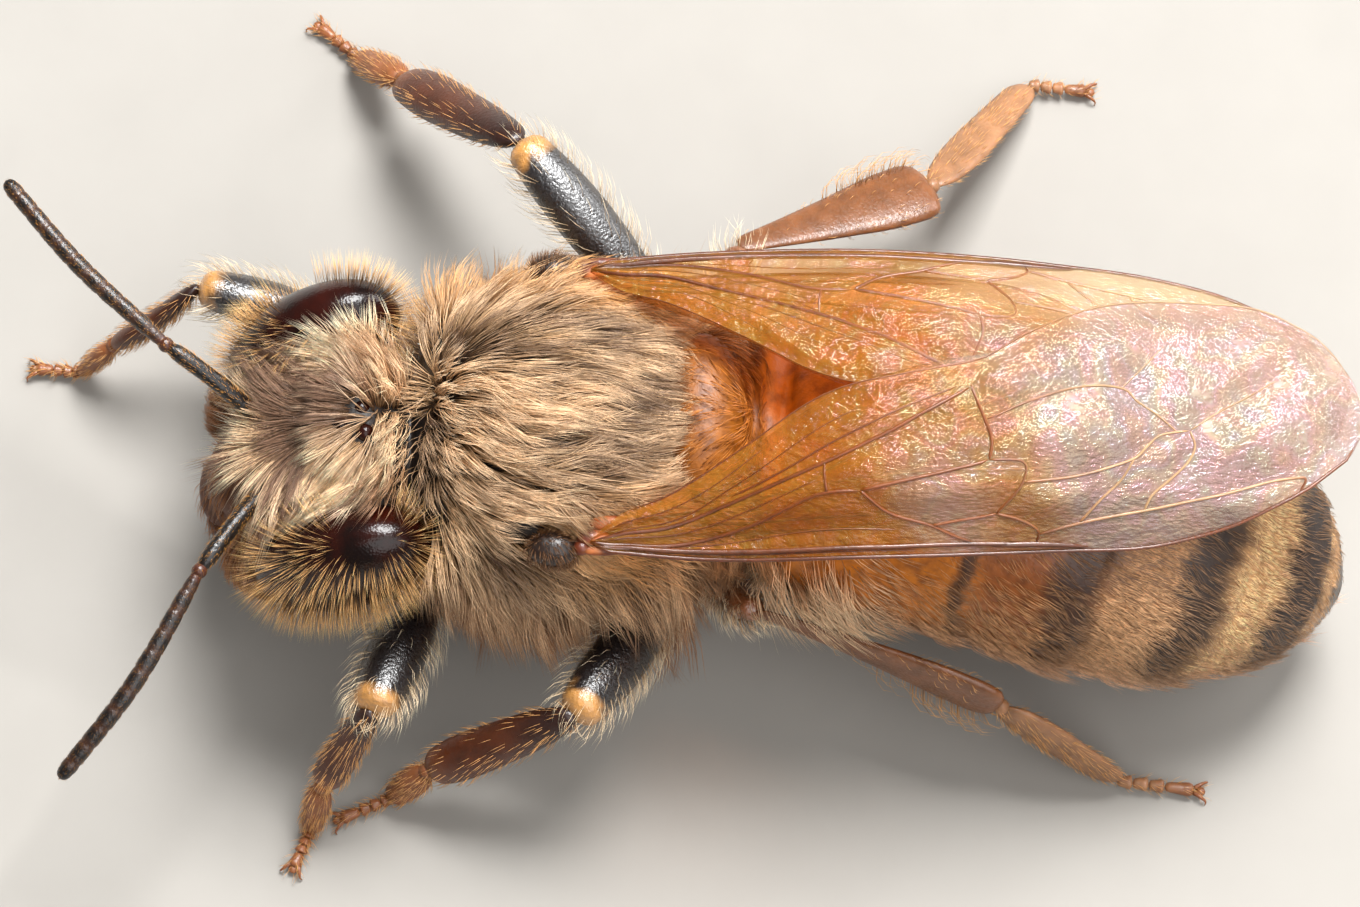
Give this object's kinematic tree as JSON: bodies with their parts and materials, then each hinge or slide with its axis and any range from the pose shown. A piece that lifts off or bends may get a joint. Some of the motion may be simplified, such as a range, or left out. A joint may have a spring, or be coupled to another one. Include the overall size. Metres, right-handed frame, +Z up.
{
  "type": "honey bee",
  "caption": "Honey bee worker as a still, life-size model, standing with its wings folded over its back and its head turned a little up.",
  "frame": {"origin": "on the floor, under the middle of the whole bee's box", "axes": "+Z up, -Y the way the bee faces, +X to the bee's left"},
  "size_m": [0.011, 0.0162, 0.0058],
  "materials": {
    "coat_cream": "fine branched hair, straw to cream, dark cuticle in the partings",
    "eye": "glossy near-black reddish brown with fine erect golden hairs",
    "feeler": "dark brown with fine golden down and paler rings",
    "wing": "thin amber-tinted membrane with brown veins and a faint rainbow sheen",
    "abdomen_amber": "amber cuticle under long pale hair",
    "abdomen_banded": "straw felt bands between dark brown bands",
    "cuticle_amber": "translucent orange-brown cuticle",
    "leg_dark": "glossy black with pale hair and a cream knee patch",
    "leg_brown": "translucent brown with pale hair",
    "leg_amber": "amber with golden bristles"
  },
  "bodies": {
    "root": {"abdomen_1": "abdomen_amber", "abdomen_2": "abdomen_amber", "abdomen_3": "abdomen_amber", "abdomen_4": "abdomen_banded", "abdomen_5": "abdomen_banded", "abdomen_6": "abdomen_banded", "eye_left": "eye", "eye_right": "eye", "flagellum_left": "feeler", "flagellum_right": "feeler", "forewing_left": "wing", "forewing_right": "wing", "front_left_coxa": "leg_dark", "front_left_femur": "leg_dark", "front_left_tarsus": "leg_amber", "front_left_tibia": "leg_brown", "front_right_coxa": "leg_dark", "front_right_femur": "leg_dark", "front_right_tarsus": "leg_amber", "front_right_tibia": "leg_brown", "head": "coat_cream", "hind_left_coxa": "leg_dark", "hind_left_femur": "leg_dark", "hind_left_tarsus": "leg_amber", "hind_left_tibia": "leg_brown", "hind_right_coxa": "leg_dark", "hind_right_femur": "leg_dark", "hind_right_tarsus": "leg_amber", "hind_right_tibia": "leg_brown", "hindwing_left": "wing", "hindwing_right": "wing", "mandible_left": "cuticle_amber", "mandible_right": "cuticle_amber", "middle_left_coxa": "leg_dark", "middle_left_femur": "leg_dark", "middle_left_tarsus": "leg_amber", "middle_left_tibia": "leg_brown", "middle_right_coxa": "leg_dark", "middle_right_femur": "leg_dark", "middle_right_tarsus": "leg_amber", "middle_right_tibia": "leg_brown", "neck": "coat_cream", "proboscis": "cuticle_amber", "scape_left": "feeler", "scape_right": "feeler", "tegula_left": "cuticle_amber", "tegula_right": "cuticle_amber", "thorax": "coat_cream", "waist": "cuticle_amber"}
  },
  "joints": []
}
